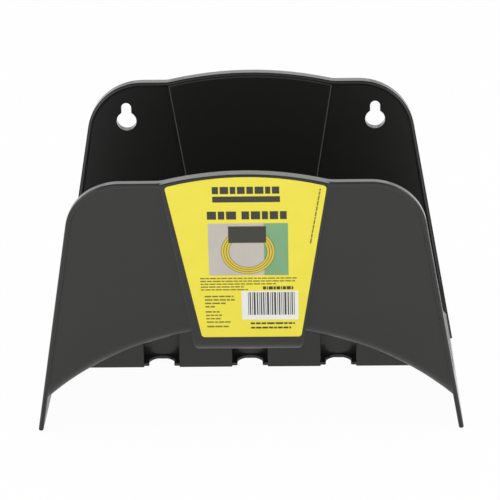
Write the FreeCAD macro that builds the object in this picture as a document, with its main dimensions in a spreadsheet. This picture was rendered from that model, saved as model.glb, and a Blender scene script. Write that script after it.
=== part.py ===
import FreeCAD, Part
import math
import os
import re
import Sketcher

# Hose hanger: a one-piece moulding with a wall plate, an arched saddle, a leaning front plate
# and a rail of open hose clips, plus the thin label on its raised panel.
# Millimetres. The wall is the plane y = 0 and the front faces -Y. The shapes are drawn with their
# bottom edges at z = 0 and then lowered, so that the part's origin lies midway between the two
# keyholes' heads, where it hangs.

SIZES = {
    "bottom_width": 242.0,
    "bottom_depth": 127.0,
    "shoulder_height": 164.0,
    "side_taper": 9.75,
    "end_wall_draft": 1.1,
    "front_lean": 11.7,
    "corner_radius": 31.0,
    "front_hump_rise": 6.1,
    "back_hump_rise": 5.7,
    "hump_blend": 20.0,
    "back_hump_width": 96.0,
    "front_hump_width": 91.0,
    "wall": 2.8,
    "back_plate_depth": 5.0,
    "back_plate_skin": 2.6,
    "back_side_margin": 0.9,
    "back_top_margin": 1.9,
    "back_field_step": 1.0,
    "back_field_radius": 0.9,
    "back_field_foot_width": 66.0,
    "front_skin": 2.6,
    "flange_depth": 4.8,
    "face_recess": 1.2,
    "fold_radius": 9.0,
    "rim_outer_radius": 1.0,
    "rim_inner_radius": 1.1,
    "foot_radius": 1.1,
    "arch_radius": 161.5,
    "arch_crown": 67.5,
    "saddle_thickness": 2.6,
    "opening_floor": 22.0,
    "opening_front_radius": 46.0,
    "opening_back_radius": 24.0,
    "panel_foot_width": 60.0,
    "panel_foot_height": 57.5,
    "panel_proud": 1.6,
    "panel_corner_radius": 4.5,
    "panel_edge_radius": 0.8,
    "panel_foot_radius": 5.0,
    "keyhole_spacing": 146.0,
    "keyhole_height": 142.0,
    "keyhole_head": 11.6,
    "keyhole_slot": 5.8,
    "keyhole_rise": 8.4,
    "keyhole_collar": 2.4,
    "rail_setback": 16.3,
    "rail_bottom": 35.4,
    "rail_thickness": 2.6,
    "clip_pitch": 50.0,
    "clip_pocket_width": 20.0,
    "clip_pocket_depth": 11.5,
    "clip_pocket_wall": 2.0,
    "clip_hole": 14.6,
    "clip_hole_gap": 1.2,
    "clip_shelf": 1.6,
    "clip_shelf_lift": 0.8,
    "clip_lip_radius": 1.0,
    "clip_mouth_radius": 0.7,
    "label_top_width": 87.2,
    "label_foot_width": 55.0,
    "label_shift": 0.5,
    "label_foot_shift": 1.4,
    "label_top_margin": 1.4,
    "label_foot_height": 65.1,
    "label_thickness": 0.2,
    "label_corner_radius": 2.0,
}

# Cutting tools reach this far past what they cut.
REACH = 60.0
XZ_PLANE = FreeCAD.Rotation(FreeCAD.Vector(1, 0, 0), 90)
YZ_PLANE = FreeCAD.Rotation(FreeCAD.Vector(1, 1, 1), 120)
ALONG_X = FreeCAD.Vector(1, 0, 0)
ALONG_Y = FreeCAD.Vector(0, 1, 0)
ALONG_Z = FreeCAD.Vector(0, 0, 1)
ORIGIN = (-1, 1)
FRONT_SECTION = "(bottom_depth + shoulder_height * tan(front_lean) + front_hump_rise + 20)"
ARCH_CENTRE = "(arch_crown - arch_radius)"
SHELL_REAR = "(back_plate_depth - back_plate_skin / 2)"

doc = FreeCAD.newDocument("hose_hanger")


def make_sheet():
    sheet = doc.addObject("Spreadsheet::Sheet", "sizes")
    for row, (alias, value) in enumerate(SIZES.items(), start=1):
        sheet.set("A%d" % row, alias)
        sheet.set("B%d" % row, str(value))
        sheet.setAlias("B%d" % row, alias)
    doc.recompute()
    return sheet


def formula(text):
    """Put the sheet's name in front of every alias."""
    return re.sub(r"[a-z_]+", lambda m: "sizes." + m.group() if m.group() in SIZES else m.group(), text)


def number(text):
    """The present value of a formula, which places a sketch's first guess."""
    result = doc.sizes.evalExpression(formula(text))
    return float(getattr(result, "Value", result))


def bind(obj, **properties):
    for path, text in properties.items():
        obj.setExpression(path.replace("__", "."), formula(text))


def dimension(sketch, kind, *picks, to):
    """Add one dimension to a sketch and tie it to a formula of the sheet."""
    start = math.radians(number(to)) if kind == "Angle" else number(to)
    index = sketch.addConstraint(Sketcher.Constraint(kind, *picks, start))
    sketch.setExpression("Constraints[%d]" % index, formula(to))


def relate(sketch, kind, *picks):
    sketch.addConstraint(Sketcher.Constraint(kind, *picks))


def mirror(sketch, curve):
    """Keep the two ends of a curve on both sides of the sketch's vertical axis."""
    relate(sketch, "Symmetric", curve, 1, curve, 2, -2)


def ground(sketch, curve):
    """Keep the start of a curve on the sketch's horizontal axis."""
    relate(sketch, "PointOnObject", curve, 1, -1)


def line(x0, y0, x1, y1):
    return Part.LineSegment(FreeCAD.Vector(x0, y0, 0), FreeCAD.Vector(x1, y1, 0))


def arc(cx, cy, radius, start, end):
    circle = Part.Circle(FreeCAD.Vector(cx, cy, 0), FreeCAD.Vector(0, 0, 1), radius)
    return Part.ArcOfCircle(circle, math.radians(start), math.radians(end))


def new_sketch(name, plane, place_y="0"):
    sketch = doc.addObject("Sketcher::SketchObject", name)
    sketch.Placement = FreeCAD.Placement(FreeCAD.Vector(0, number(place_y), 0), plane)
    bind(sketch, Placement__Base__y=place_y)
    return sketch


def hump_radius(width, rise):
    return "((%s / 2)^2 + %s^2) / (2 * %s)" % (width, rise, rise)


def hump_arc(width, rise, top):
    radius = number(hump_radius(width, rise))
    spread = math.degrees(math.asin(number(width) / 2 / radius))
    centre = number(top) - radius * math.cos(math.radians(spread))
    return arc(0, centre, radius, 90 - spread, 90 + spread)


def round_edges(name, solid, *choices):
    """Round edges of a solid; each choice is a radius and a test that picks its edges."""
    doc.recompute()
    result = doc.addObject("Part::Fillet", name)
    result.Base = solid
    rounded = []
    for radius, chosen in choices:
        size = number(radius)
        picked = [i for i, edge in enumerate(solid.Shape.Edges, start=1) if chosen(edge)]
        rounded += [(i, size, size) for i in picked]
        print(name, radius, "edges:", len(picked))
    result.Edges = rounded
    return result


def runs_along(edge, direction):
    ends = [vertex.Point for vertex in edge.Vertexes]
    if len(ends) < 2 or edge.Curve.TypeId != "Part::GeomLine":
        return False
    way = (ends[1] - ends[0]).normalize()
    return abs(way.dot(direction)) > 0.999


def near(value, wanted):
    return abs(value - wanted) < 0.02


def is_above(edge, height):
    return all(vertex.Z > height for vertex in edge.Vertexes)


def is_across(edge, distance):
    """Whether an edge runs to the wall at a distance from the middle."""
    return all(near(abs(vertex.X), distance) for vertex in edge.Vertexes) and runs_along(edge, ALONG_Y)


def samples(edge):
    """Three points along an edge."""
    first, last = edge.ParameterRange
    return [edge.valueAt(first + (last - first) * share) for share in (0.1, 0.5, 0.9)]


def behind_rim(point):
    """How far a point lies behind the plane of the front rim."""
    lean = math.radians(number("front_lean"))
    return (point.y + number("bottom_depth")) * math.cos(lean) + point.z * math.sin(lean)


def above_arch(point):
    return math.hypot(point.x, point.z - number(ARCH_CENTRE)) - number("arch_radius")


def lies_on(edge, solid):
    """Whether an edge runs in the surface of another solid."""
    skin = solid.Shape.Shells[0]
    return all(near(skin.distToShape(Part.Vertex(point))[0], 0) for point in samples(edge))


def is_rim(edge):
    """Whether an edge lies in the plane of the front rim."""
    return all(near(behind_rim(point), 0) for point in samples(edge))


def is_fold(edge, depth, thickness):
    """Whether the front plate's lower edge turns into the saddle here, at a depth behind the rim."""
    return all(near(behind_rim(p), number(depth)) and near(above_arch(p), number(thickness))
               for p in samples(edge))


def runs_back(edge):
    """Whether an edge's ends differ in depth."""
    return abs(edge.Vertexes[0].Y - edge.Vertexes[-1].Y) > 1


def is_foot(edge):
    """Whether an edge is one of the long bottom edges of the end walls."""
    return runs_back(edge) and all(near(vertex.Z, 0) for vertex in edge.Vertexes)


def half_width(depth, wider, drop):
    """Half the width at a depth from the wall and a drop below z = 0, some way outside the end walls."""
    return ("bottom_width / 2 + ((%s) - bottom_depth) * tan(end_wall_draft)"
            " + (%s) / cos(side_taper) + (%s) * tan(side_taper)" % (depth, wider, drop))


def footprint(name, near, far, wider, drop):
    """A block's plan at its foot, drawn from its front edge back towards the wall."""
    sketch = doc.addObject("Sketcher::SketchObject", name)
    bind(sketch, Placement__Base__y="-1 * (%s)" % far, Placement__Base__z="-1 * (%s)" % drop)
    front_half, rear_half = half_width(far, wider, drop), half_width(near, wider, drop)
    depth = "(%s) - (%s)" % (far, near)
    x_front, x_rear, y_rear = number(front_half), number(rear_half), number(depth)
    front, right, rear, left = sketch.addGeometry([
        line(-x_front, 0, x_front, 0),
        line(x_front, 0, x_rear, y_rear),
        line(x_rear, y_rear, -x_rear, y_rear),
        line(-x_rear, y_rear, -x_front, 0),
    ], False)
    relate(sketch, "Coincident", front, 2, right, 1)
    relate(sketch, "Coincident", right, 2, rear, 1)
    relate(sketch, "Coincident", rear, 2, left, 1)
    relate(sketch, "Coincident", left, 2, front, 1)
    mirror(sketch, front)
    mirror(sketch, rear)
    ground(sketch, front)
    dimension(sketch, "DistanceX", front, 1, front, 2, to="2 * (%s)" % front_half)
    dimension(sketch, "DistanceX", rear, 2, rear, 1, to="2 * (%s)" % rear_half)
    dimension(sketch, "DistanceY", *ORIGIN, rear, 1, to=depth)
    return sketch


def hump(name, near, far, width, rise, top):
    """The low swelling in the middle of a plate's top edge."""
    sketch = new_sketch(name + "_front", XZ_PLANE, "-1 * (%s)" % near)
    half, level = number(width) / 2, number(top)
    chord, crest = sketch.addGeometry([line(-half, level, half, level), hump_arc(width, rise, top)], False)
    relate(sketch, "Coincident", chord, 2, crest, 1)
    relate(sketch, "Coincident", crest, 2, chord, 1)
    mirror(sketch, chord)
    dimension(sketch, "DistanceX", chord, 1, chord, 2, to=width)
    dimension(sketch, "DistanceY", *ORIGIN, chord, 1, to=top)
    dimension(sketch, "Radius", crest, to=hump_radius(width, rise))
    return extrusion(name, sketch, FreeCAD.Vector(0, -1, 0), "(%s) - (%s)" % (far, near))


def tapered_block(name, near, far, wider="0", taller="0", plate="front", drop="0"):
    """A block with leaning ends, round shoulders and the hump of one of the plates."""
    hump_width, hump_rise = plate + "_hump_width", plate + "_hump_rise"
    top = "shoulder_height + (%s)" % taller
    plan = footprint(name + "_plan", near, far, wider, drop)
    leaning = []
    for side in (-1, 1):
        tag = name + ("_left" if side < 0 else "_right")
        height = "(%s + (%s)) / cos(side_taper)" % (top, drop)
        lean = extrusion(tag, plan, FreeCAD.Vector(0, 0, 1), height)
        bind(lean, Dir__x="%d * sin(side_taper)" % side, Dir__z="cos(side_taper)")
        leaning.append(lean)
    level = number(top) - 1
    soft = round_edges(name + "_shoulders", overlap(name + "_sides", *leaning),
                       ("corner_radius + (%s)" % taller,
                        lambda edge: is_above(edge, level) and not runs_along(edge, ALONG_X)))
    humped = fuse(name + "_humped", soft, hump(name + "_hump", near, far, hump_width, hump_rise, top))
    crest = number(hump_width) / 2
    return round_edges(name, humped,
                       ("hump_blend - (%s)" % taller,
                        lambda edge: is_above(edge, level) and is_across(edge, crest)))


def extrusion(name, sketch, direction, length, both_ways=False):
    solid = doc.addObject("Part::Extrusion", name)
    solid.Base = sketch
    solid.DirMode = "Custom"
    solid.Dir = direction
    solid.Solid = True
    solid.Symmetric = both_ways
    bind(solid, LengthFwd=length)
    return solid


def box(name, width, depth, height, x, y, z):
    """A box given by its size and its least corner."""
    solid = doc.addObject("Part::Box", name)
    bind(solid, Length=width, Width=depth, Height=height)
    bind(solid, Placement__Base__x=x, Placement__Base__y=y, Placement__Base__z=z)
    return solid


def cylinder_back(name, radius, length, x, y, z):
    """A cylinder along Y, from y towards the front."""
    solid = doc.addObject("Part::Cylinder", name)
    solid.Placement = FreeCAD.Placement(FreeCAD.Vector(0, 0, 0), XZ_PLANE)
    bind(solid, Radius=radius, Height=length)
    bind(solid, Placement__Base__x=x, Placement__Base__y=y, Placement__Base__z=z)
    return solid


def leaning_slab(name, behind, thickness, start="-%s" % REACH):
    """A wide slab parallel to the front plate, which starts at a distance up the plate's slope."""
    solid = doc.addObject("Part::Box", name)
    solid.Placement = FreeCAD.Placement(FreeCAD.Vector(0, 0, 0), FreeCAD.Rotation(ALONG_X, 10))
    bind(solid, Length="bottom_width + 2 * %s" % REACH, Width=thickness)
    bind(solid, Height="shoulder_height + 3 * %s" % REACH)
    bind(solid, Placement__Rotation__Angle="front_lean")
    bind(solid, Placement__Base__x="-1 * bottom_width / 2 - %s" % REACH)
    along = "(%s) * cos(front_lean) - (%s) * sin(front_lean)" % (behind, start)
    lift = "(%s) * sin(front_lean) + (%s) * cos(front_lean)" % (behind, start)
    bind(solid, Placement__Base__y=along + " - bottom_depth", Placement__Base__z=lift)
    return solid


def fuse(name, *solids):
    result = doc.addObject("Part::MultiFuse", name)
    result.Shapes = list(solids)
    result.Refine = True
    return result


def overlap(name, *solids):
    result = doc.addObject("Part::MultiCommon", name)
    result.Shapes = list(solids)
    return result


def remove(name, solid, *tools):
    for count, tool in enumerate(tools, start=1):
        result = doc.addObject("Part::Cut", name if count == len(tools) else name + "_step")
        result.Base = solid
        result.Tool = tool
        result.Refine = True
        solid = result
    return solid


def arch(name, thickness):
    """The solid under the saddle's curve, offset outward by a thickness."""
    radius = "arch_radius + (%s)" % thickness
    return cylinder_back(name, radius, FRONT_SECTION + " + 20", "0", "10", ARCH_CENTRE)


def behind_front(name, distance):
    return leaning_slab(name, distance, "bottom_depth + shoulder_height + %s" % REACH)


def inner_block(name, near):
    """A block inside the end walls, from a depth to past the front and down past the bottom."""
    return tapered_block(name, near, FRONT_SECTION, "-1 * wall", "-1 * wall", drop="5")


def end_opening():
    """The side view of the trough, a deep U whose front leans with the front plate."""
    sketch = new_sketch("opening_profile", YZ_PLANE)
    top = "shoulder_height + %s" % REACH
    lip = "bottom_depth + (%s) * tan(front_lean) - flange_depth / cos(front_lean)" % top
    lean, floor, z_top = number("front_lean"), number("opening_floor"), number(top)
    front_r, back_r = number("opening_front_radius"), number("opening_back_radius")
    y_back, y_lip = -number(SHELL_REAR), -number(lip)
    y_low = y_lip + (z_top - floor) * math.tan(math.radians(lean))
    centre_y = y_low + front_r * math.tan(math.radians(45 + lean / 2))
    start_y = centre_y - front_r * math.cos(math.radians(lean))
    start_z = floor + front_r - front_r * math.sin(math.radians(lean))
    front, bend, bottom, back_bend, back, lid = sketch.addGeometry([
        line(y_lip, z_top, start_y, start_z),
        arc(centre_y, floor + front_r, front_r, 180 + lean, 270),
        line(centre_y, floor, y_back - back_r, floor),
        arc(y_back - back_r, floor + back_r, back_r, 270, 360),
        line(y_back, floor + back_r, y_back, z_top),
        line(y_back, z_top, y_lip, z_top),
    ], False)
    relate(sketch, "Tangent", front, 2, bend, 1)
    relate(sketch, "Tangent", bend, 2, bottom, 1)
    relate(sketch, "Tangent", bottom, 2, back_bend, 1)
    relate(sketch, "Tangent", back_bend, 2, back, 1)
    relate(sketch, "Coincident", back, 2, lid, 1)
    relate(sketch, "Coincident", lid, 2, front, 1)
    relate(sketch, "Horizontal", bottom)
    relate(sketch, "Horizontal", lid)
    relate(sketch, "Vertical", back)
    dimension(sketch, "Angle", front, to="front_lean - 90")
    dimension(sketch, "Radius", bend, to="opening_front_radius")
    dimension(sketch, "Radius", back_bend, to="opening_back_radius")
    dimension(sketch, "DistanceY", *ORIGIN, bottom, 1, to="opening_floor")
    dimension(sketch, "DistanceY", *ORIGIN, lid, 1, to=top)
    dimension(sketch, "DistanceX", back, 2, *ORIGIN, to=SHELL_REAR)
    dimension(sketch, "DistanceX", front, 1, *ORIGIN, to=lip)
    across = "bottom_width + 2 * %s" % REACH
    block = extrusion("opening_block", sketch, FreeCAD.Vector(1, 0, 0), across, both_ways=True)
    return remove("opening", block, arch("arch_for_opening", "saddle_thickness"))


def trough():
    """The hollow between the plates, above the saddle and inside the flanges."""
    block = inner_block("trough_block", SHELL_REAR)
    kept = overlap("trough_kept", block, behind_front("behind_skin", "face_recess + front_skin"))
    return remove("trough", kept, arch("arch_for_trough", "saddle_thickness"))


def space_below():
    """The open space under the saddle, between the end walls."""
    block = inner_block("space_block", SHELL_REAR)
    return overlap("space", block, arch("arch_for_space", "0"))


def face_pocket():
    """The shallow step from the rim down to the front plate's face."""
    block = inner_block("face_block", "bottom_depth - 20")
    return remove("face_pocket", block, behind_front("behind_face", "face_recess"))


def shell():
    """End walls, saddle and front plate with its flange."""
    block = tapered_block("shell_block", SHELL_REAR, FRONT_SECTION)
    solid = overlap("shell_outer", block, behind_front("behind_rim", "0"))
    face = face_pocket()
    sharp = remove("shell_sharp", solid, trough(), end_opening(), space_below(), face)
    return round_edges("shell", sharp,
                       ("fold_radius", lambda edge: is_fold(edge, "face_recess", "0")),
                       ("fold_radius - saddle_thickness",
                        lambda edge: is_fold(edge, "face_recess + front_skin", "saddle_thickness")),
                       ("rim_outer_radius", lambda edge: is_rim(edge) and lies_on(edge, block)),
                       ("rim_inner_radius", lambda edge: is_rim(edge) and lies_on(edge, face)),
                       ("foot_radius", is_foot))


def tapered_field(name, top_width, rise, foot_width, foot_height, top, foot_shift="0"):
    """A field that narrows downward under the hump's curve, drawn in the front view."""
    sketch = new_sketch(name, XZ_PLANE)
    half_top, z_top, z_foot = number(top_width) / 2, number(top), number(foot_height)
    foot_left, foot_right = ["(%s) / 2 %s (%s)" % (foot_width, sign, foot_shift) for sign in "-+"]
    x_left, x_right = -number(foot_left), number(foot_right)
    foot, right, crest, left = sketch.addGeometry([
        line(x_left, z_foot, x_right, z_foot),
        line(x_right, z_foot, half_top, z_top),
        hump_arc(top_width, rise, top),
        line(-half_top, z_top, x_left, z_foot),
    ], False)
    relate(sketch, "Coincident", foot, 2, right, 1)
    relate(sketch, "Coincident", right, 2, crest, 1)
    relate(sketch, "Coincident", crest, 2, left, 1)
    relate(sketch, "Coincident", left, 2, foot, 1)
    mirror(sketch, crest)
    relate(sketch, "Horizontal", foot)
    dimension(sketch, "DistanceX", foot, 1, *ORIGIN, to=foot_left)
    dimension(sketch, "DistanceX", *ORIGIN, foot, 2, to=foot_right)
    dimension(sketch, "DistanceX", crest, 2, crest, 1, to=top_width)
    dimension(sketch, "DistanceY", *ORIGIN, foot, 1, to=foot_height)
    dimension(sketch, "DistanceY", *ORIGIN, right, 2, to=top)
    dimension(sketch, "Radius", crest, to=hump_radius(top_width, rise))
    return sketch


def panel():
    """The raised panel for the label, which hangs below the saddle's edge as a tongue."""
    sketch = tapered_field("panel_front", "front_hump_width", "front_hump_rise", "panel_foot_width",
                           "panel_foot_height", "shoulder_height")
    prism = extrusion("panel_prism", sketch, FreeCAD.Vector(0, -1, 0), FRONT_SECTION)
    middle = number("(shoulder_height + panel_foot_height) / 2")
    soft = round_edges("panel_corners", prism,
                       ("panel_corner_radius",
                        lambda edge: runs_along(edge, ALONG_Y) and not is_above(edge, middle)))
    thickness = "panel_proud + face_recess + front_skin"
    slab = leaning_slab("panel_slab", "-1 * panel_proud", thickness)
    front = -number("panel_proud")
    edged = round_edges("panel_edged", overlap("panel_sharp", soft, slab),
                        ("panel_edge_radius", lambda edge: all(near(behind_rim(p), front) for p in samples(edge))))
    foot = "(panel_foot_height + panel_proud * sin(front_lean)) / cos(front_lean)"
    low = number("panel_foot_height")
    rolled = round_edges("panel_rolled", leaning_slab("panel_foot_slab", "-1 * panel_proud", thickness, foot),
                         ("panel_foot_radius", lambda edge: all(near(v.Z, low) for v in edge.Vertexes)))
    return overlap("panel", edged, rolled)


def back_plate():
    """The wall plate: a skin with a rim to the wall, a raised field and two keyholes."""
    plate = tapered_block("back_block", "0", "back_plate_depth", "back_side_margin", "back_top_margin", "back")
    hollow = tapered_block("back_hollow", "-1", "back_plate_depth - back_plate_skin",
                           "back_side_margin - wall", "back_top_margin - wall", "back", "-1 * wall")
    outline = tapered_field("back_field_front", "back_hump_width", "back_hump_rise",
                            "back_field_foot_width", "arch_crown", "shoulder_height")
    block = extrusion("back_field_block", outline, FreeCAD.Vector(0, -1, 0),
                      "back_plate_depth + back_field_step")
    front = number("back_plate_depth + back_field_step")
    field = round_edges("back_field", block,
                        ("back_field_radius", lambda edge: all(near(-v.Y, front) for v in edge.Vertexes)))
    skin = remove("back_skin", fuse("back_faced", plate, field), hollow)
    collars = [keyhole("collar", side, "keyhole_collar", "0", "back_plate_depth") for side in (-1, 1)]
    return fuse("back_plate", skin, *collars)


def keyhole(name, side, grown, start, length):
    """A head hole with a narrower slot above it, or the collar round both."""
    tag = name + ("_left" if side < 0 else "_right")
    x = "%d * keyhole_spacing / 2" % side
    slot = "keyhole_slot / 2 + (%s)" % grown
    head = cylinder_back(tag + "_head", "keyhole_head / 2 + (%s)" % grown, length, x, start, "keyhole_height")
    end = cylinder_back(tag + "_end", slot, length, x, start, "keyhole_height + keyhole_rise")
    neck = box(tag + "_neck", "2 * (%s)" % slot, length, "keyhole_rise",
               x + " - (%s)" % slot, "(%s) - (%s)" % (start, length), "keyhole_height")
    return fuse(tag, head, end, neck)


RAIL_FRONT = "(-1 * (bottom_depth + rail_bottom * tan(front_lean)) + rail_setback)"
SHELF_FOOT = "(rail_bottom + clip_shelf_lift)"
POCKET_BACK = "(%s + clip_pocket_depth)" % RAIL_FRONT


def clip_x(slot, extra="0"):
    return "%d * clip_pitch - (%s)" % (slot, extra)


def clip_pocket(slot):
    """A pocket in the rail, open to the front, below and above."""
    half = "clip_pocket_width / 2"
    return box("pocket_%d" % (slot + 2), "clip_pocket_width", "clip_pocket_depth + 5", "arch_crown",
               clip_x(slot, half), RAIL_FRONT + " - 5", "rail_bottom - 5")


def clip_housing(slot):
    outer = "clip_pocket_width / 2 + clip_pocket_wall"
    return box("housing_%d" % (slot + 2), "2 * (%s)" % outer, "clip_pocket_depth + clip_pocket_wall",
               "arch_crown", clip_x(slot, outer), RAIL_FRONT, "rail_bottom")


def is_lip(edge, front, middle):
    """Whether an edge is one of the two upright corners of a clip's mouth."""
    ends = edge.Vertexes
    return (runs_along(edge, ALONG_Z) and all(near(end.Y, front) for end in ends)
            and abs(ends[0].X - middle) < number("clip_hole / 2"))


def clip_shelf(slot):
    """The thin shelf with the C-shaped seat for a hose fitting."""
    tag = "shelf_%d" % (slot + 2)
    over = "clip_pocket_width / 2 + clip_pocket_wall / 2"
    plate = box(tag + "_plate", "2 * (%s)" % over, "clip_pocket_depth + clip_pocket_wall / 2", "clip_shelf",
                clip_x(slot, over), RAIL_FRONT, SHELF_FOOT)
    hole = doc.addObject("Part::Cylinder", tag + "_hole")
    bind(hole, Radius="clip_hole / 2", Height="clip_shelf + 20")
    bind(hole, Placement__Base__x=clip_x(slot), Placement__Base__z=SHELF_FOOT + " - 10",
         Placement__Base__y=POCKET_BACK + " - clip_hole_gap - clip_hole / 2")
    front = number(RAIL_FRONT)
    return round_edges(tag, remove(tag + "_sharp", plate, hole),
                       ("clip_lip_radius", lambda edge: is_lip(edge, front, number(clip_x(slot)))))


def rail():
    """The rail under the saddle, with three clip pockets and their shelves."""
    slots = (-1, 0, 1)
    wall = box("rail_wall", "bottom_width", "rail_thickness", "arch_crown",
               "-1 * bottom_width / 2", RAIL_FRONT, "rail_bottom")
    blocks = fuse("rail_blocks", wall, *[clip_housing(slot) for slot in slots])
    under = overlap("rail_under_arch", blocks, arch("arch_for_rail", "saddle_thickness / 2"))
    opened = remove("rail_open", under, *[clip_pocket(slot) for slot in slots])
    front = number(RAIL_FRONT)
    soft = round_edges("rail", opened,
                       ("clip_mouth_radius",
                        lambda edge: runs_along(edge, ALONG_Z) and all(near(v.Y, front) for v in edge.Vertexes)))
    return [soft] + [clip_shelf(slot) for slot in slots]


def finished(part, label):
    """Name a piece and move it to the frame of the screws that it hangs on."""
    part.Label = label
    bind(part, Placement__Base__z="-1 * keyhole_height")
    return part


def hanger():
    whole = fuse("hanger_fused", shell(), back_plate(), panel(), *rail())
    slots = [keyhole("keyhole", side, "0", "10", "back_plate_depth + 20") for side in (-1, 1)]
    moulding = remove("moulding", whole, *slots)
    return finished(moulding, "hanger")


def label():
    """The thin film on the panel, with round corners and a curved top edge."""
    sketch = tapered_field("label_front", "label_top_width", "front_hump_rise", "label_foot_width",
                           "label_foot_height", "shoulder_height - label_top_margin", "label_foot_shift")
    bind(sketch, Placement__Base__x="label_shift")
    prism = extrusion("label_prism", sketch, FreeCAD.Vector(0, -1, 0), FRONT_SECTION)
    soft = round_edges("label_corners", prism,
                       ("label_corner_radius", lambda edge: runs_along(edge, ALONG_Y)))
    slab = leaning_slab("label_slab", "-1 * (panel_proud + label_thickness)", "label_thickness")
    film = overlap("label_film", soft, slab)
    return finished(film, "label")


def check_document():
    for item in doc.Objects:
        bad = [word for word in item.State if word in ("Invalid", "Error")]
        if bad:
            raise RuntimeError("%s did not build: %s" % (item.Name, bad))


def write(part):
    shape = part.Shape
    if shape.isNull() or not shape.isValid():
        raise RuntimeError(part.Label + " has no valid shape")
    print(part.Label, "solids", len(shape.Solids), "volume", round(shape.Volume), "box", shape.BoundBox)
    shape.exportStep("parts/%s.step" % part.Label)


make_sheet()
PARTS = [hanger(), label()]
doc.recompute()
check_document()
os.makedirs("parts", exist_ok=True)
for built in PARTS:
    write(built)
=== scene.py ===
import math
import random

import bmesh
import bpy
from mathutils import Matrix, Vector


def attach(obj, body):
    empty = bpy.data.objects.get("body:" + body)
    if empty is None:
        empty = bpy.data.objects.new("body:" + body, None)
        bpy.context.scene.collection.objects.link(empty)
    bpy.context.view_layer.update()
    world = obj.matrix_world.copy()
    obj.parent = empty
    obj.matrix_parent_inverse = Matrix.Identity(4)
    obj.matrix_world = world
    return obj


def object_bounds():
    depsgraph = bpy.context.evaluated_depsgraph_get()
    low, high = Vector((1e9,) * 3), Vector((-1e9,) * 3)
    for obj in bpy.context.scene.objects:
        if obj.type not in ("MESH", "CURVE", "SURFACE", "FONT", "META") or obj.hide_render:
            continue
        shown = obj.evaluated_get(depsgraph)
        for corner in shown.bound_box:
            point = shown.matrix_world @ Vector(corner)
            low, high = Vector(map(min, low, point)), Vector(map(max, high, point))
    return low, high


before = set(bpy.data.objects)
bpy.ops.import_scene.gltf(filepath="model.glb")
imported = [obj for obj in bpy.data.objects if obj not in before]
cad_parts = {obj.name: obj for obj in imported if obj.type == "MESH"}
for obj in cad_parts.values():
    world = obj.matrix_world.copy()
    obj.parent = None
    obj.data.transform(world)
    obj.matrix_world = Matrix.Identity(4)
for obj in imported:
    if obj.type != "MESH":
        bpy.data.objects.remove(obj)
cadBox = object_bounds()
print("packed model loaded, nodes:", ", ".join(sorted(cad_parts)))

mmPerMetre = 1000


def paint(hexText):
    # an sRGB hex value as linear red, green, blue and alpha
    values = [int(hexText[i:i + 2], 16) / 255 for i in (1, 3, 5)]
    return [v / 12.92 if v <= 0.04045 else ((v + 0.055) / 1.055) ** 2.4 for v in values] + [1.0]


def addNode(tree, kind, settings=None, links=None):
    # settings name a socket or a property of the node, links name a socket and what feeds it
    node = tree.nodes.new(kind)

    def socket(name):
        return next((s for s in node.inputs if name in (s.identifier, s.name)), None)

    for name, value in (settings or {}).items():
        if socket(name):
            socket(name).default_value = value
        else:
            setattr(node, name, value)
    for name, source in (links or {}).items():
        tree.links.new(source, socket(name))
    return node


def emptyMaterial(name):
    material = bpy.data.materials.new(name)
    material.use_nodes = True
    material.node_tree.nodes.clear()
    return material, material.node_tree


def patternScale(millimetres):
    # the Scale of a noise whose features are this large
    return mmPerMetre / millimetres


def newPiece(name, mesh, materials):
    data = bpy.data.meshes.new(name)
    mesh.to_mesh(data)
    mesh.free()
    for material in materials:
        data.materials.append(material)
    piece = bpy.data.objects.new(name, data)
    bpy.context.scene.collection.objects.link(piece)
    return piece


# The camera stands where the photograph's edges put it: above the hanger, a little to its right.
photoView = {
    "azimuth": 1.521,
    "elevation": 23.0,
    "roll": -1.064,
    "distance": 1.7,
    "lens": 211.76,
    "sensor": 36,
    "clipEnd": 20,
    "target": (-0.000382, -0.060, -0.059566),
}


def placeCamera(settings):
    azimuth = math.radians(settings["azimuth"])
    elevation = math.radians(settings["elevation"])
    roll = math.radians(settings["roll"])
    back = Vector((math.sin(azimuth) * math.cos(elevation),
                   -math.cos(azimuth) * math.cos(elevation), math.sin(elevation)))
    right = Vector((math.cos(azimuth), math.sin(azimuth), 0))
    up = back.cross(right)
    turn = Matrix((right * math.cos(roll) + up * math.sin(roll),
                   up * math.cos(roll) - right * math.sin(roll), back)).transposed()
    lens = bpy.data.cameras.new("photoCamera")
    lens.lens = settings["lens"]
    lens.sensor_width = settings["sensor"]
    lens.clip_end = settings["clipEnd"]
    camera = bpy.data.objects.new("photoCamera", lens)
    eye = Vector(settings["target"]) + back * settings["distance"]
    camera.matrix_world = Matrix.Translation(eye) @ turn.to_4x4()
    bpy.context.scene.collection.objects.link(camera)
    bpy.context.scene.camera = camera


placeCamera(photoView)
print("camera placed")


# Polypropylene dyed black and injection-moulded in a spark-eroded tool: its fine even grain
# spreads the light into a satin sheen, its closed skin mirrors like glass at a flat angle, and
# the broad faces are never quite flat after cooling.
polypropylene = {
    "deep": "#131312",
    "pale": "#1a1a19",
    "roughness": (0.34, 0.42),
    "index": 1.44,
    "skinIndex": 1.3,
    "skinRoughness": 0.07,
    "grain": 0.6,  # mm, drawn three times as coarse as the real grain so that it shows
    "grainRange": (0.3, 0.7),  # how far the grain's noise swings
    "grainDepth": 0.012,
    "flow": 38,  # mm between the soft streaks left by the melt
    "flowStretch": (0.35, 1, 1.6),  # the streaks run from side to side
    "cooling": 55,  # mm between hollows of the cooled wall
    "coolingDepth": 0.05,
}


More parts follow.
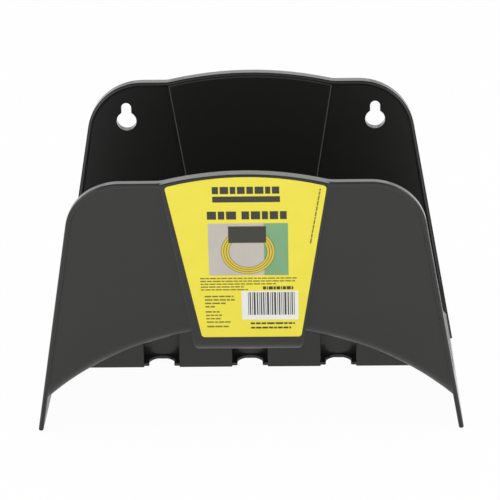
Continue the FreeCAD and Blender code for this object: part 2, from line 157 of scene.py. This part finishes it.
def mouldedPlastic(settings):
    material, tree = emptyMaterial("mouldedPolypropylene")
    place = addNode(tree, "ShaderNodeTexCoord").outputs["Object"]
    stretched = addNode(tree, "ShaderNodeMapping", {"Scale": settings["flowStretch"]},
                        {"Vector": place}).outputs["Vector"]
    flow = addNode(tree, "ShaderNodeTexNoise",
                   {"Scale": patternScale(settings["flow"]), "Detail": 3, "Roughness": 0.55},
                   {"Vector": stretched}).outputs["Fac"]
    grain = addNode(tree, "ShaderNodeTexNoise",
                    {"Scale": patternScale(settings["grain"]), "Detail": 2, "Roughness": 0.6},
                    {"Vector": place}).outputs["Fac"]
    cooling = addNode(tree, "ShaderNodeTexNoise",
                      {"Scale": patternScale(settings["cooling"]), "Detail": 1},
                      {"Vector": place}).outputs["Fac"]
    tone = addNode(tree, "ShaderNodeMix",
                   {"data_type": "RGBA", "A_Color": paint(settings["deep"]),
                    "B_Color": paint(settings["pale"])}, {"Factor_Float": flow})
    lowNoise, highNoise = settings["grainRange"]
    smooth, rough = settings["roughness"]
    spread = addNode(tree, "ShaderNodeMapRange",
                     {"From Min": lowNoise, "From Max": highNoise,
                      "To Min": smooth, "To Max": rough}, {"Value": grain})
    broad = addNode(tree, "ShaderNodeBump",
                    {"Strength": 1.0, "Distance": settings["coolingDepth"] / mmPerMetre},
                    {"Height": cooling})
    fine = addNode(tree, "ShaderNodeBump",
                   {"Strength": 1.0, "Distance": settings["grainDepth"] / mmPerMetre},
                   {"Height": grain, "Normal": broad.outputs["Normal"]})
    surface = addNode(tree, "ShaderNodeBsdfPrincipled",
                      {"IOR": settings["index"], "Coat Weight": 1.0,
                       "Coat IOR": settings["skinIndex"],
                       "Coat Roughness": settings["skinRoughness"]},
                      {"Base Color": tone.outputs[2], "Roughness": spread.outputs["Result"],
                       "Normal": fine.outputs["Normal"],
                       "Coat Normal": broad.outputs["Normal"]})
    addNode(tree, "ShaderNodeOutputMaterial", links={"Surface": surface.outputs["BSDF"]})
    return material


def dress(node, material):
    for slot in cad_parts[node].material_slots:
        slot.material = material


plastic = mouldedPlastic(polypropylene)
dress("hanger", plastic)
print("hanger dressed")


# A fine half-round border runs along the free edge of the back plate, on its front. In mm.
backBorder = {
    "face": -5.0,  # where the plate's front lies
    "radius": 1.45,
    "inset": 1.6,  # from the plate's edge to the border's middle
    "proud": 0.55,
    "keyholes": ((-73, 4), (73, 4)),
    "keyholeRoom": 14,  # their edges are left out
    "middle": -80,  # height that the border runs round
    "merge": 0.01,  # vertices this close are one, and this close to the face they lie on it
    "sideTilt": -0.3,  # a side face of the plate doesn't look forward more than this
    "roundness": 3,
}


def edgeOfPlate(settings):
    # the corners along the plate's free edge, each with the way that is out of the plate
    mesh = bmesh.new()
    mesh.from_mesh(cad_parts["hanger"].data)
    near = settings["merge"] / mmPerMetre
    bmesh.ops.remove_doubles(mesh, verts=mesh.verts[:], dist=near)
    face = settings["face"] / mmPerMetre

    def atKeyhole(vertex):
        return any((vertex.co.xz * mmPerMetre - Vector(hole)).length < settings["keyholeRoom"]
                   for hole in settings["keyholes"])

    rim = {}
    for edge in mesh.edges:
        if len(edge.link_faces) != 2 or not edge.is_convex:
            continue
        if any(abs(v.co.y - face) > near or atKeyhole(v) for v in edge.verts):
            continue
        side = max(edge.link_faces, key=lambda f: f.normal.y)
        if side.normal.y < settings["sideTilt"]:
            continue
        for vertex in edge.verts:
            rim.setdefault(vertex, []).append(side.normal.copy())
    corners = [(vertex.co.copy(), sum(normals, Vector()).normalized())
               for vertex, normals in rim.items()]
    mesh.free()
    return corners


def roundBorder(settings, material):
    points = [at - outward * settings["inset"] / mmPerMetre
              for at, outward in edgeOfPlate(settings)]
    middle = settings["middle"] / mmPerMetre
    points.sort(key=lambda p: math.atan2(p.x, p.z - middle))
    line = bpy.data.curves.new("back_border", "CURVE")
    line.dimensions = "3D"
    line.bevel_depth = settings["radius"] / mmPerMetre
    line.bevel_resolution = settings["roundness"]
    line.use_fill_caps = True
    run = line.splines.new("POLY")
    run.points.add(len(points) - 1)
    depth = (settings["face"] + settings["radius"] - settings["proud"]) / mmPerMetre
    for spot, point in zip(run.points, points):
        spot.co = (point.x, depth, point.z, 1)
    line.materials.append(material)
    piece = bpy.data.objects.new("back_border", line)
    bpy.context.scene.collection.objects.link(piece)
    return piece


border = roundBorder(backBorder, plastic)
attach(border, "root")
print("border run")


# Yellow vinyl film with a gloss varnish, rolled on by hand: it follows the panel in slight waves.
film = {
    "yellow": "#f6e94a",
    "shade": "#f0e141",
    "index": 1.5,
    "roughness": 0.3,
    "waves": 14,  # mm between the waves of the film
    "waveDepth": 0.02,
}


def varnishedFilm(name, base, shade, settings):
    material, tree = emptyMaterial(name)
    place = addNode(tree, "ShaderNodeTexCoord").outputs["Object"]
    waves = addNode(tree, "ShaderNodeTexNoise",
                    {"Scale": patternScale(settings["waves"]), "Detail": 1},
                    {"Vector": place}).outputs["Fac"]
    tone = addNode(tree, "ShaderNodeMix",
                   {"data_type": "RGBA", "A_Color": paint(base), "B_Color": paint(shade)},
                   {"Factor_Float": waves})
    bump = addNode(tree, "ShaderNodeBump",
                   {"Strength": 1.0, "Distance": settings["waveDepth"] / mmPerMetre},
                   {"Height": waves})
    surface = addNode(tree, "ShaderNodeBsdfPrincipled",
                      {"IOR": settings["index"], "Roughness": settings["roughness"]},
                      {"Base Color": tone.outputs[2], "Normal": bump.outputs["Normal"]})
    addNode(tree, "ShaderNodeOutputMaterial", links={"Surface": surface.outputs["BSDF"]})
    return material


dress("label", varnishedFilm("varnishedYellowFilm", film["yellow"], film["shade"], film))

# The front plate leans forward about its foot. In degrees and mm.
frontPlate = {"lean": 11.7, "foot": (0, -127.0, -142.0)}


def plateAxes(settings):
    lean = math.radians(settings["lean"])
    outward = Vector((0, -math.cos(lean), -math.sin(lean)))
    upward = Vector((0, -math.sin(lean), math.cos(lean)))
    return Vector(settings["foot"]) / mmPerMetre, upward, outward


def ontoPlate(mesh, settings, offset=0):
    # takes mm along the plate to metres in the room, with z standing out of the plate
    foot, upward, outward = plateAxes(settings)
    turn = Matrix((Vector((1, 0, 0)), upward, outward)).transposed().to_4x4()
    mesh.transform(Matrix.Scale(1 / mmPerMetre, 4))
    mesh.transform(Matrix.Translation(foot + outward * offset) @ turn)


# The print is plain fields, bars and rings. An area is (low x, high x, low height, high height)
# in mm, from the middle of the plate and from its foot along the plate.
labelPrint = {
    "thickness": 0.03,  # of each layer of ink
    "sunk": 0.02,  # into the film, so that no gap shows
    "inks": {
        "darkInk": ("#34342b", "#393930"),
        "fineInk": ("#77732f", "#7f7b33"),  # fine print, its strokes and gaps taken together
        "warmGreyInk": ("#c9c3bc", "#beb7ae"),
        "greenInk": ("#6fa273", "#86b184"),
        "whiteInk": ("#f2f2f0", "#ececea"),
        "ochreInk": ("#e3cb48", "#d9be3c"),
    },
    # rows of blocks: their widths, the area and the gap
    "headline": ([3.4, 4.6, 3.0, 4.2, 3.6, 4.8, 2.8, 4.0], (-17.6, 18.6, 162.0, 166.6), 0.9),
    "title": ([4.6, 3.2, 5.0, None, 3.8, 4.6, 3.0, 4.2, 3.4], (-20.7, 22.4, 145.5, 150.7), 0.9),
    "number": ([1.7, 0.6, 2.4, 1.2, 2.0, 0.6, 1.8, 2.3, 0.9], (8.7, 25.3, 99.0, 101.1), 0.4),
    "stripe": (-17.5, 18.9, 156.6, 160.4),
    "greyField": (-20.5, 9.7, 108.6, 142.9),
    "greenField": (9.72, 22.9, 108.6, 142.9),
    "rings": {"middle": (1.0, 124.3), "radii": (13.9, 12.5, 11.1), "width": 1.1, "edge": 0.25,
              "steps": 72},
    "darkField": (-9.5, 11.0, 130.2, 141.0),
    "patch": (-3.2, 28.0, 78.7, 98.0),
    "codeFrame": (0.4, 26.0, 81.9, 97.2),
    "codeBars": [1, 2, 1, 3, 2, 1, 2, 2, 1, 3, 1, 2, 3, 1, 2, 1, 1, 3, 2, 1, 2, 1],
    "barShare": 0.8,  # of its place that a bar fills
    # lines of fine print: low x, high x, top, height
    "finePrint": [(-25.6, 27.3, 107.0, 0.8), (-25.6, 26.4, 105.1, 0.8), (-25.5, 15.8, 103.2, 0.8),
                  (-25.4, -1.8, 101.3, 0.8), (-25.4, 0.5, 99.4, 0.8),
                  (-23.4, -7.6, 95.0, 1.0), (-23.4, -7.0, 92.7, 1.0), (-23.3, -12.0, 90.4, 1.0),
                  (-23.2, -18.0, 88.1, 1.0), (-23.2, -15.5, 84.6, 1.0), (-23.0, -14.2, 82.2, 0.9),
                  (-22.9, -15.0, 79.9, 0.9), (-22.8, -9.6, 77.6, 0.9), (-22.6, -10.6, 74.6, 1.0)],
    "boldPrint": [(1.5, 25.9, 76.7, 1.2), (1.7, 23.8, 73.7, 1.2)],
    "uprightLine": ((35.0, 129.4), (40.6, 165.0), 0.8),  # from, to and height
    "dash": 4.4,  # the longest in a line of print
    "uprightDash": 3.4,
    "dashShares": (0.35, 1.0),  # of the longest, from which each is drawn
    "dashGap": 0.5,
    "stub": 0.6,  # no dash starts this near a line's end
    "seed": 7,
}


def printLabel(settings):
    inks = list(settings["inks"])
    mesh = bmesh.new()

    def heights(layer):
        return -settings["sunk"], settings["thickness"] * (layer + 1)

    def mark(ink, x0, x1, y0, y1, layer=0, angle=0.0):
        low, high = heights(layer)
        size = Matrix.Diagonal((x1 - x0, y1 - y0, high - low, 1))
        middle = Matrix.Translation(((x0 + x1) / 2, (y0 + y1) / 2, (low + high) / 2))
        turned = middle @ Matrix.Rotation(angle, 4, "Z") @ size
        made = bmesh.ops.create_cube(mesh, size=1, matrix=turned)
        for face in {f for v in made["verts"] for f in v.link_faces}:
            face.material_index = inks.index(ink)

    def ring(ink, middle, inner, outer, layer):
        low, high = heights(layer)
        corners = [mesh.verts.new((middle[0] + r, middle[1], h))
                   for r, h in ((inner, low), (outer, low), (outer, high), (inner, high))]
        sides = [mesh.edges.new((a, b)) for a, b in zip(corners, corners[1:] + corners[:1])]
        before = set(mesh.faces)
        bmesh.ops.spin(mesh, geom=corners + sides, cent=(*middle, 0), axis=(0, 0, 1),
                       angle=math.tau, steps=settings["rings"]["steps"], use_merge=True)
        for face in set(mesh.faces) - before:
            face.material_index = inks.index(ink)

    def blocks(ink, widths, area, gap):
        # a row of blocks, with a wider gap where a width is None
        x0, x1, y0, y1 = area
        total = sum(w for w in widths if w) + gap * sum(1 if w else 2 for w in widths)
        stretch = (x1 - x0) / (total - gap)
        x = x0
        for width in widths:
            if width is None:
                x += 2 * gap * stretch
                continue
            mark(ink, x, x + width * stretch, y0, y1)
            x += (width + gap) * stretch

    def line(ink, start, end, height, longest):
        # a line of print as dashes of uneven length
        start, end = Vector(start), Vector(end)
        along = (end - start).normalized()
        angle = math.atan2(along.y, along.x)
        length = (end - start).length
        done = 0.0
        while done < length - settings["stub"]:
            dash = min(dice.uniform(*settings["dashShares"]) * longest, length - done)
            middle = start + along * (done + dash / 2)
            mark(ink, middle.x - dash / 2, middle.x + dash / 2,
                 middle.y - height / 2, middle.y + height / 2, angle=angle)
            done += dash + settings["dashGap"]

    dice = random.Random(settings["seed"])
    blocks("darkInk", *settings["headline"])
    mark("darkInk", *settings["stripe"])
    blocks("darkInk", *settings["title"])
    mark("warmGreyInk", *settings["greyField"])
    mark("greenInk", *settings["greenField"])
    rings = settings["rings"]
    half, edge = rings["width"] / 2, rings["edge"]
    for radius in rings["radii"]:
        ring("darkInk", rings["middle"], radius - half - edge, radius + half + edge, 1)
        ring("ochreInk", rings["middle"], radius - half, radius + half, 2)
    mark("darkInk", *settings["darkField"], layer=3)
    blocks("darkInk", *settings["number"])
    mark("whiteInk", *settings["patch"])
    x, x1, y0, y1 = settings["codeFrame"]
    bars = settings["codeBars"]
    step = (x1 - x) / (sum(bars) + len(bars) - 1)
    for width in bars:
        mark("darkInk", x, x + width * step * settings["barShare"], y0, y1, layer=1)
        x += (width + 1) * step
    for ink, lines in (("fineInk", settings["finePrint"]), ("darkInk", settings["boldPrint"])):
        for x0, x1, top, height in lines:
            level = top - height / 2
            line(ink, (x0, level), (x1, level), height, settings["dash"])
    line("fineInk", *settings["uprightLine"], settings["uprightDash"])
    bmesh.ops.recalc_face_normals(mesh, faces=mesh.faces[:])

    foot, _, outward = plateAxes(frontPlate)
    filmFront = max((v.co - foot).dot(outward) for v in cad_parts["label"].data.vertices)
    ontoPlate(mesh, frontPlate, filmFront)
    materials = [varnishedFilm(name, *settings["inks"][name], film) for name in inks]
    return newPiece("label_print", mesh, materials)


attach(printLabel(labelPrint), "root")
print("label printed")


# The tongue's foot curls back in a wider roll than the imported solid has. All in mm along the
# front plate.
tongueLip = {
    "top": 66.4,  # just below the label's foot
    "rollFrom": 63.9,
    "rollRadius": 10.6,
    "rollAngle": 62,  # degrees
    "halfWidths": (31.1, 29.1),  # at the top, and at the foot before it is curled
    "cornerRadius": 7.0,
    "cornerSegments": 8,
    "edgeRadius": 0.8,
    "edgeSegments": 4,
    "thickness": 2.4,
    "face": 1.62,  # in front of the rim's plane
    "cuts": 16,  # across the roll
    "near": 0.01,  # this close to the front or the top counts as on it
    "sharpFrom": 30,  # degrees between faces
}


def curlLip(settings, material):
    wide, narrow = settings["halfWidths"]
    top, start, radius = settings["top"], settings["rollFrom"], settings["rollRadius"]
    low = start - radius * math.radians(settings["rollAngle"])
    near = settings["near"]
    mesh = bmesh.new()
    corners = [mesh.verts.new((x, y, 0))
               for x, y in ((-wide, top), (-narrow, low), (narrow, low), (wide, top))]
    mesh.faces.new(corners)
    bmesh.ops.bevel(mesh, geom=corners[1:3], offset=settings["cornerRadius"], affect="VERTICES",
                    segments=settings["cornerSegments"], profile=0.5, material=-1)
    bmesh.ops.solidify(mesh, geom=mesh.faces[:], thickness=settings["thickness"])
    bmesh.ops.recalc_face_normals(mesh, faces=mesh.faces[:])
    front = max(v.co.z for v in mesh.verts)
    bmesh.ops.translate(mesh, verts=mesh.verts[:], vec=(0, 0, -front))
    outline = [e for e in mesh.edges if all(v.co.z > -near for v in e.verts)
               and any(v.co.y < top - near for v in e.verts)]
    bmesh.ops.bevel(mesh, geom=outline, offset=settings["edgeRadius"], affect="EDGES",
                    segments=settings["edgeSegments"], profile=0.5, material=-1)
    for cut in range(settings["cuts"]):
        height = start - (start - low) * cut / settings["cuts"]
        bmesh.ops.bisect_plane(mesh, geom=mesh.verts[:] + mesh.edges[:] + mesh.faces[:],
                               plane_co=(0, height, 0), plane_no=(0, 1, 0))
    for vertex in mesh.verts:
        past = start - vertex.co.y
        if past > 0:
            angle = past / radius
            reach = radius + vertex.co.z
            vertex.co.y = start - reach * math.sin(angle)
            vertex.co.z = reach * math.cos(angle) - radius
    for face in mesh.faces:
        face.smooth = True
    for edge in mesh.edges:
        edge.smooth = edge.calc_face_angle(0) < math.radians(settings["sharpFrom"])
    bmesh.ops.translate(mesh, verts=mesh.verts[:], vec=(0, 0, settings["face"]))
    ontoPlate(mesh, frontPlate)
    return newPiece("tongue_lip", mesh, [material])


lip = curlLip(tongueLip, plastic)
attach(lip, "root")
print("lip curled")


# A pale floor under soft lamps. Seen directly or in a gloss it is white, and it keeps the shadow.
studio = {
    "white": "#ffffff",
    "floor": "#e6e6e4",
    "floorSize": 8.0,
    "floorGap": 0.0002,  # m under the hanger's feet
    "floorGlow": 0.97,
    "floorInGloss": 0.3,  # by the hanger, a gloss sees mostly the floor with its shadow
    "underHanger": ((0, -0.155, 0), (0.12, 0.155, 1)),  # middle and half size of that place
    "floorFade": 0.03,  # m past it, over which the floor grows white in a gloss
    "skyLight": 0.5,
    "skyInGloss": (1.0, 0.4),  # at the horizon and overhead, where the room is darker
    "skyFade": (0.05, 0.6),  # heights of those two, as the sine of their angle
    "aim": (0, -0.07, -0.05),
    # place, size, power, and whether a gloss shows the lamp
    "lamps": {
        "overheadBox": ((0.0, -0.25, 1.5), (1.4, 1.0), 11, False),
        "frontBox": ((0.25, -1.9, 0.55), (1.2, 0.8), 6, False),
        "leftBox": ((-1.4, -0.9, 0.6), (0.7, 1.1), 6, True),
        "rightBox": ((1.5, -0.7, 0.7), (0.7, 1.1), 7, True),
        "backBox": ((0.0, 1.65, 1.15), (2.8, 1.2), 7.5, True),
    },
}


def whiteToTheEye(tree, inGloss):
    # 1 for a ray from the camera or through glass, inGloss for one from a gloss, 0 for others
    path = addNode(tree, "ShaderNodeLightPath").outputs
    gloss = addNode(tree, "ShaderNodeMath", {"operation": "MULTIPLY"},
                    {"Value": path["Is Glossy Ray"], "Value_001": inGloss})
    either = addNode(tree, "ShaderNodeMath", {"operation": "MAXIMUM"},
                     {"Value": path["Is Camera Ray"], "Value_001": path["Is Transmission Ray"]})
    return addNode(tree, "ShaderNodeMath", {"operation": "MAXIMUM"},
                   {"Value": either.outputs[0], "Value_001": gloss.outputs[0]}).outputs[0]


def makeWorld(settings):
    world = bpy.data.worlds.new("softSky")
    world.use_nodes = True
    tree = world.node_tree
    tree.nodes.clear()
    white = paint(settings["white"])
    place = addNode(tree, "ShaderNodeTexCoord").outputs["Generated"]
    height = addNode(tree, "ShaderNodeSeparateXYZ", links={"Vector": place}).outputs["Z"]
    horizon, overhead = settings["skyInGloss"]
    low, high = settings["skyFade"]
    fade = addNode(tree, "ShaderNodeMapRange",
                   {"From Min": low, "From Max": high, "To Min": horizon, "To Max": overhead},
                   {"Value": height}).outputs["Result"]
    light = addNode(tree, "ShaderNodeBackground",
                    {"Color": white, "Strength": settings["skyLight"]})
    seen = addNode(tree, "ShaderNodeBackground", {"Color": white},
                   {"Strength": whiteToTheEye(tree, fade)})
    path = addNode(tree, "ShaderNodeLightPath").outputs
    both = addNode(tree, "ShaderNodeMixShader",
                   links={"Fac": path["Is Diffuse Ray"], "Shader": seen.outputs[0],
                          "Shader_001": light.outputs[0]})
    addNode(tree, "ShaderNodeOutputWorld", links={"Surface": both.outputs[0]})
    bpy.context.scene.world = world


def makeFloor(settings):
    material, tree = emptyMaterial("paleFloor")
    place = addNode(tree, "ShaderNodeTexCoord").outputs["Object"]
    middle, half = settings["underHanger"]
    moved = addNode(tree, "ShaderNodeVectorMath",
                    {"operation": "SUBTRACT", "Vector_001": middle}, {"Vector": place})
    folded = addNode(tree, "ShaderNodeVectorMath", {"operation": "ABSOLUTE"},
                     {"Vector": moved.outputs[0]})
    past = addNode(tree, "ShaderNodeVectorMath",
                   {"operation": "SUBTRACT", "Vector_001": half}, {"Vector": folded.outputs[0]})
    sides = addNode(tree, "ShaderNodeSeparateXYZ", links={"Vector": past.outputs[0]}).outputs
    away = addNode(tree, "ShaderNodeMath", {"operation": "MAXIMUM"},
                   {"Value": sides["X"], "Value_001": sides["Y"]})
    inGloss = addNode(tree, "ShaderNodeMapRange",
                      {"From Min": 0.0, "From Max": settings["floorFade"],
                       "To Min": settings["floorInGloss"], "To Max": 1.0},
                      {"Value": away.outputs[0]}).outputs["Result"]
    plain = addNode(tree, "ShaderNodeBsdfDiffuse", {"Color": paint(settings["floor"])})
    glow = addNode(tree, "ShaderNodeEmission", {"Color": paint(settings["white"])})
    shown = addNode(tree, "ShaderNodeMixShader", {"Fac": settings["floorGlow"]},
                    {"Shader": plain.outputs[0], "Shader_001": glow.outputs[0]})
    both = addNode(tree, "ShaderNodeMixShader",
                   links={"Fac": whiteToTheEye(tree, inGloss), "Shader": plain.outputs[0],
                          "Shader_001": shown.outputs[0]})
    addNode(tree, "ShaderNodeOutputMaterial", links={"Surface": both.outputs[0]})
    mesh = bmesh.new()
    bmesh.ops.create_grid(mesh, x_segments=1, y_segments=1, size=settings["floorSize"] / 2)
    mesh.transform(Matrix.Translation((0, 0, cadBox[0].z - settings["floorGap"])))
    newPiece("floor", mesh, [material])


def hangLamps(settings):
    for name, (at, size, power, inGloss) in settings["lamps"].items():
        light = bpy.data.lights.new(name, "AREA")
        light.shape = "RECTANGLE"
        light.size, light.size_y = size
        light.energy = power
        holder = bpy.data.objects.new(name, light)
        aim = (Vector(settings["aim"]) - Vector(at)).to_track_quat("-Z", "Y")
        holder.matrix_world = Matrix.Translation(at) @ aim.to_matrix().to_4x4()
        holder.visible_camera = False
        holder.visible_glossy = inGloss
        bpy.context.scene.collection.objects.link(holder)


makeWorld(studio)
makeFloor(studio)
hangLamps(studio)
bpy.context.scene.view_settings.view_transform = "Standard"
print("studio lit")
